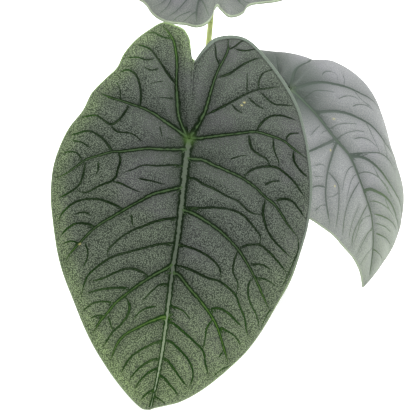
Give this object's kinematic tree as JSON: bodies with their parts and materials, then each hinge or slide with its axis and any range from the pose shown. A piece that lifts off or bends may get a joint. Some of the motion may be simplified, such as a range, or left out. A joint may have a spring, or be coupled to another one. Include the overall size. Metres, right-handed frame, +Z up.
{
  "type": "potted alocasia melo",
  "caption": "Potted aroid house plant with thick, quilted, heart-shaped leaves on pale stalks, a short rhizome and a bed of bark mix in a plain tapered pot",
  "frame": {"origin": "the middle of the pot's underside, on the ground", "axes": "+Z up along the pot's axis, -Y towards the front leaf, +X towards the right leaf"},
  "size_m": [0.2127, 0.3701, 0.2505],
  "materials": {
    "dark_leaf": "satin",
    "pale_leaf": "satin",
    "stalk": "satin",
    "rhizome": "matte",
    "potting_mix": "matte",
    "pot": "matte"
  },
  "bodies": {
    "root": {"blade_front": "dark_leaf", "blade_right": "pale_leaf", "blade_back": "pale_leaf", "petiole_front": "stalk", "petiole_right": "stalk", "petiole_back": "stalk", "rhizome": "rhizome", "potting_mix": "potting_mix", "pot": "pot"}
  },
  "joints": []
}
